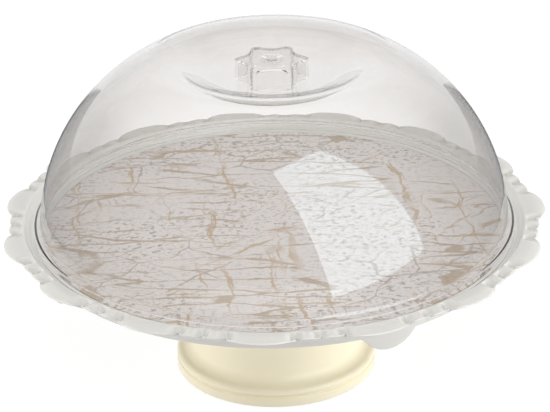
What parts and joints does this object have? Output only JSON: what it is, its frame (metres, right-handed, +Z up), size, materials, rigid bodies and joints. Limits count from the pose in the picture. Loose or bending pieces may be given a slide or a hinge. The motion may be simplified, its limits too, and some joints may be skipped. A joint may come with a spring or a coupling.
{
  "type": "covered cake stand",
  "caption": "Covered cake stand: a scalloped plate on a pull-off pedestal, a printed sheet in its well, and a clear lift-off dome with a dished crown and fluted knob.",
  "frame": {"origin": "on the table, on the axis of the pedestal, plate and dome", "axes": "+Z up along that axis; -Y towards the viewer of the picture"},
  "size_m": [0.3384, 0.3384, 0.2081],
  "materials": {
    "cream_plastic": "moulded, soft gloss",
    "white_plastic": "moulded, soft gloss",
    "printed_film": "printed with fine tan and grey veins",
    "clear_plastic": "clear, polished",
    "clear_knob": "clear, polished"
  },
  "bodies": {
    "stand": {"pedestal": "cream_plastic"},
    "tray": {"plate": "white_plastic", "decor_sheet": "printed_film"},
    "cover": {"dome_cover": "clear_plastic", "knob": "clear_knob"}
  },
  "joints": [
    {"name": "plate_lift", "type": "slide", "parent": "stand", "child": "tray", "axis": [0, 0, 1], "range_m": [0, 0.04]},
    {"name": "dome_lift", "type": "slide", "parent": "tray", "child": "cover", "axis": [0, 0, 1], "range_m": [0, 0.15]}
  ]
}
